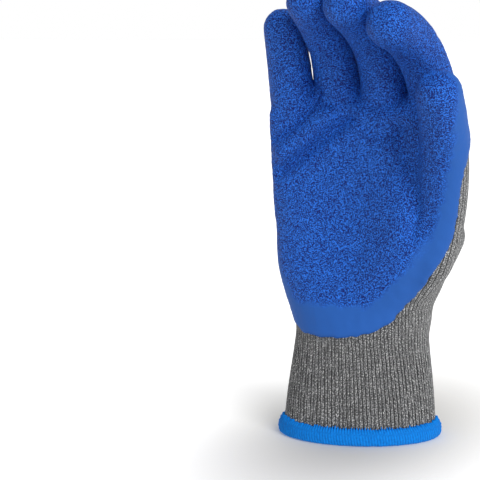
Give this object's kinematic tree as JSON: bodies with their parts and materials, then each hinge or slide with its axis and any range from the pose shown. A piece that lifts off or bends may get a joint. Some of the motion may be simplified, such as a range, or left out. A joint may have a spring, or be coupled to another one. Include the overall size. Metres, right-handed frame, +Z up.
{
  "type": "latex coated grip glove",
  "caption": "Seamless knitted work glove for a right hand, fingers half curled, with a crinkled latex coat on palm, thumb and fingertips, ribbed cuff and overlocked hem.",
  "frame": {"origin": "the middle of the hand opening, level with the hem's foot, where the glove sits on the wrist", "axes": "+Z up from the hem to the fingertips, -Y out of the palm, +X towards the thumb's side"},
  "size_m": [0.1158, 0.1062, 0.2475],
  "materials": {
    "hand_knit": "heather grey polyester and cotton yarn, plain knit",
    "cuff_knit": "heather grey yarn knitted with elastic, in fine ribs",
    "latex": "blue natural latex, crinkled by a solvent wash, matt",
    "hem_yarn": "bright blue overlocked yarn"
  },
  "bodies": {
    "root": {"knit_liner": "hand_knit", "rib_cuff": "cuff_knit", "latex_coating": "latex", "overlock_hem": "hem_yarn"}
  },
  "joints": []
}
